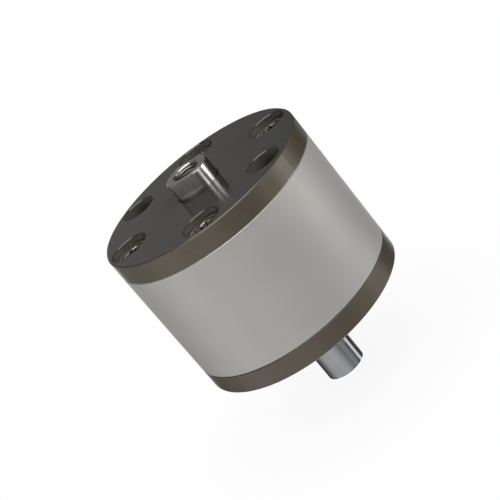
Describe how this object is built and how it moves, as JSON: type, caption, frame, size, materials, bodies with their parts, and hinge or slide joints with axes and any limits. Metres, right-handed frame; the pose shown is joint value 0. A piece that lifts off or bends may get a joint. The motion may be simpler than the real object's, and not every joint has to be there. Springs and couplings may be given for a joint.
{
  "type": "pneumatic cylinder",
  "caption": "Compact round air cylinder with a rod right through: pale thick tube, dark flat heads, tapped rod end with wrench flats, and a plain tail rod that moves with it.",
  "frame": {"origin": "centre of the bottom mounting face, midway between the two mounting holes, on the rod's axis", "axes": "+Z along the rod towards its tapped end; +X towards one mounting hole; +Y out of the two air ports"},
  "size_m": [0.0762, 0.0762, 0.0917],
  "materials": {
    "clear_anodised": "satin clear anodised, fine turned grain",
    "hard_anodised": "dark grey hard anodised, semi-gloss",
    "screw_steel": "blackened steel with bright worn edges",
    "chromed_steel": "polished hard chrome",
    "bronze": "sintered bronze",
    "piston_aluminium": "turned",
    "seal_rubber": "smooth nitrile rubber",
    "bumper_rubber": "amber urethane",
    "spring_steel": "phosphated spring steel"
  },
  "bodies": {
    "barrel": {"tube": "clear_anodised", "top_head": "hard_anodised", "bottom_head": "hard_anodised", "top_head_screws": "screw_steel", "bottom_head_screws": "screw_steel", "top_rod_bushing": "bronze", "bottom_rod_bushing": "bronze", "top_rod_seal": "seal_rubber", "bottom_rod_seal": "seal_rubber", "top_seal_retainer": "spring_steel", "bottom_seal_retainer": "spring_steel", "top_tube_o_ring": "seal_rubber", "bottom_tube_o_ring": "seal_rubber"},
    "rod": {"piston_rod": "chromed_steel", "tail_rod": "chromed_steel", "piston": "piston_aluminium", "piston_seal_upper": "seal_rubber", "piston_seal_lower": "seal_rubber", "piston_stud_o_ring": "seal_rubber", "upper_bumper": "bumper_rubber", "lower_bumper": "bumper_rubber"}
  },
  "joints": [
    {"name": "rod_slide", "type": "slide", "parent": "barrel", "child": "rod", "axis": [0, 0, 1], "range_m": [0, 0.0254]}
  ]
}
